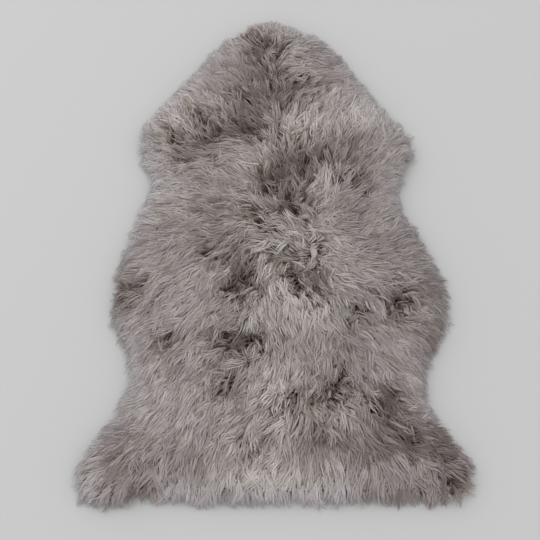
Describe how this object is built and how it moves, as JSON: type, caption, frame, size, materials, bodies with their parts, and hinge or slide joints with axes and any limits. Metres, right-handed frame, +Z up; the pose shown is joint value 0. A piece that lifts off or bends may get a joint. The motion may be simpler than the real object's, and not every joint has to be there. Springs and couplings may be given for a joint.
{
  "type": "sheepskin rug",
  "caption": "Flat rug made of one tanned skin in the outline of the animal, with long shaggy wool that overhangs the hide and droops to the floor round the rim.",
  "frame": {"origin": "on the floor, under the middle of the rug's bounding box", "axes": "+Y runs from the tail to the neck, the longest extent; +Z points up out of the wool, the shortest extent; the hide faces -Z"},
  "size_m": [0.7138, 1.0306, 0.0553],
  "materials": {
    "hide": "suede: the flesh side of a tanned skin, pale tan, dull and softly brushed",
    "wool": "long soft sheep's wool, greyish taupe with lighter tips and dark roots, dull with a faint sheen"
  },
  "bodies": {
    "root": {"hide": "hide", "fleece": "wool"}
  },
  "joints": []
}
